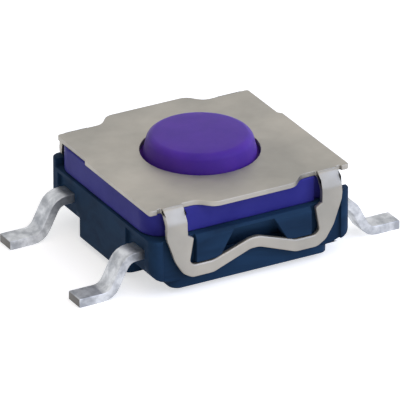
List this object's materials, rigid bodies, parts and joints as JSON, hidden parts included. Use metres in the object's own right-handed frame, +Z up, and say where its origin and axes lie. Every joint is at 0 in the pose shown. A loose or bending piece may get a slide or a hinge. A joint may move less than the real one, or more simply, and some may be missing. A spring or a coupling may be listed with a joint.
{
  "type": "tactile push button switch",
  "caption": "Sealed square surface mount tactile switch with a round flat button, a steel clip cover, a soft seal band and gull wing leads.",
  "frame": {"origin": "on the board's surface under the middle of the switch", "axes": "+X along the clip sides towards one pair of leads, +Y towards one clip side, +Z up from the board to the button"},
  "size_m": [0.01, 0.0062, 0.0032],
  "materials": {
    "housing_plastic": "fine moulded texture",
    "tinned_strip": "bright tin plate",
    "spring_steel": "bright rolled",
    "silicone_seal": "satin",
    "silicone_button": "satin",
    "stainless_sheet": "satin"
  },
  "bodies": {
    "base": {"housing": "housing_plastic", "contact_frame_centre": "tinned_strip", "contact_frame_outer": "tinned_strip", "dome": "spring_steel", "seal": "silicone_seal", "cover": "stainless_sheet"},
    "button_body": {"button": "silicone_button"}
  },
  "joints": [
    {"name": "button_press", "type": "slide", "parent": "base", "child": "button_body", "axis": [0, 0, -1], "range_m": [0, 0.00028], "stiffness_N_per_m": 8000, "springref_m": -0.0001, "deforming": ["dome"]}
  ]
}
